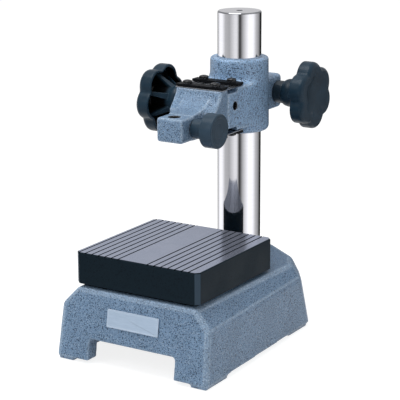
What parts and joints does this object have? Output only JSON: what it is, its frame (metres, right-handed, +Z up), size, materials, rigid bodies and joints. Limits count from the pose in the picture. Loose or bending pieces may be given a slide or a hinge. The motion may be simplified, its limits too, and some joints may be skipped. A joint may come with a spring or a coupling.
{
  "type": "comparator stand",
  "caption": "Bench comparator stand: cast base with a grooved anvil, round column, clamped arm with fine adjustment and a stem holder on parallel leaf springs.",
  "frame": {"origin": "centre of the anvil's working face", "axes": "+Z up out of the anvil's working face, +X to the right and +Y to the back, where the column is; the front with the name plate faces -Y"},
  "size_m": [0.1358, 0.2155, 0.2543],
  "materials": {
    "hammered_paint": "blue-grey hammered paint with dark speckles",
    "ground_chrome": "ground and hard chromed",
    "lapped_black_steel": "blackened sides, lapped top",
    "knob_plastic": "dark moulded, satin",
    "black_oxide_steel": "black oxide",
    "spring_steel": "bright rolled",
    "bright_steel": "machined",
    "bearing_bronze": "machined",
    "name_plate_metal": "satin, bare"
  },
  "bodies": {
    "base": {"base_casting": "hammered_paint", "anvil": "lapped_black_steel", "anvil_screw_front_left": "black_oxide_steel", "anvil_screw_front_right": "black_oxide_steel", "anvil_screw_rear_left": "black_oxide_steel", "anvil_screw_rear_right": "black_oxide_steel", "name_plate": "name_plate_metal"},
    "post": {"column": "ground_chrome", "column_washer": "bright_steel", "column_bolt": "black_oxide_steel"},
    "arm": {"collar": "hammered_paint", "fine_adjust_bush": "bearing_bronze", "top_leaf_spring": "spring_steel", "bottom_leaf_spring": "spring_steel", "top_rear_plate": "black_oxide_steel", "bottom_rear_plate": "black_oxide_steel", "plate_screw_top_rear_left": "black_oxide_steel", "plate_screw_top_rear_right": "black_oxide_steel", "plate_screw_bottom_rear_left": "black_oxide_steel", "plate_screw_bottom_rear_right": "black_oxide_steel"},
    "column_clamp": {"clamp_knob": "knob_plastic", "clamp_screw": "bright_steel", "clamp_thrust_collar": "black_oxide_steel"},
    "fine_adjuster": {"fine_adjust_knob": "knob_plastic", "fine_adjust_shaft": "bright_steel", "fine_knob_grub_screw": "black_oxide_steel", "shaft_retaining_ring": "spring_steel"},
    "holder": {"stem_holder": "hammered_paint", "top_front_plate": "black_oxide_steel", "bottom_front_plate": "black_oxide_steel", "plate_screw_top_front_left": "black_oxide_steel", "plate_screw_top_front_right": "black_oxide_steel", "plate_screw_bottom_front_left": "black_oxide_steel", "plate_screw_bottom_front_right": "black_oxide_steel", "stem_cotter_sleeve": "bright_steel"},
    "stem_clamp": {"stem_clamp_knob": "knob_plastic"},
    "stem_cotter": {"stem_cotter_stud": "bright_steel"}
  },
  "joints": [
    {"name": "column_swivel", "type": "hinge", "parent": "base", "child": "post", "pos_m": [0, 0.0969, 0], "axis": [0, 0, 1], "continuous": true},
    {"name": "arm_slide", "type": "slide", "parent": "post", "child": "arm", "axis": [0, 0, 1], "range_m": [-0.06, 0.033]},
    {"name": "column_clamp_turn", "type": "hinge", "parent": "arm", "child": "column_clamp", "pos_m": [0.027, 0.125, 0.1011], "axis": [1, 0, 0], "range_deg": [0, 180]},
    {"name": "fine_adjust_turn", "type": "hinge", "parent": "arm", "child": "fine_adjuster", "pos_m": [-0.0277, 0.0555, 0.1011], "axis": [1, 0, 0], "range_deg": [-90, 90]},
    {"name": "holder_fine_slide", "type": "slide", "parent": "arm", "child": "holder", "axis": [0, 0, 1], "range_m": [-0.0005, 0.0005], "deforming": ["top_leaf_spring", "bottom_leaf_spring"]},
    {"name": "stem_clamp_turn", "type": "hinge", "parent": "holder", "child": "stem_clamp", "pos_m": [0.0118, 0.0102, 0.0905], "axis": [1, 0, 0], "range_deg": [0, 180]},
    {"name": "stem_cotter_slide", "type": "slide", "parent": "holder", "child": "stem_cotter", "axis": [1, 0, 0], "range_m": [-0.0005, 0]}
  ],
  "couplings": [
    {"joint": "fine_adjust_turn", "follows": "holder_fine_slide", "rad_per_m": 3141.5},
    {"joint": "stem_clamp_turn", "follows": "stem_cotter_slide", "rad_per_m": -6283}
  ]
}
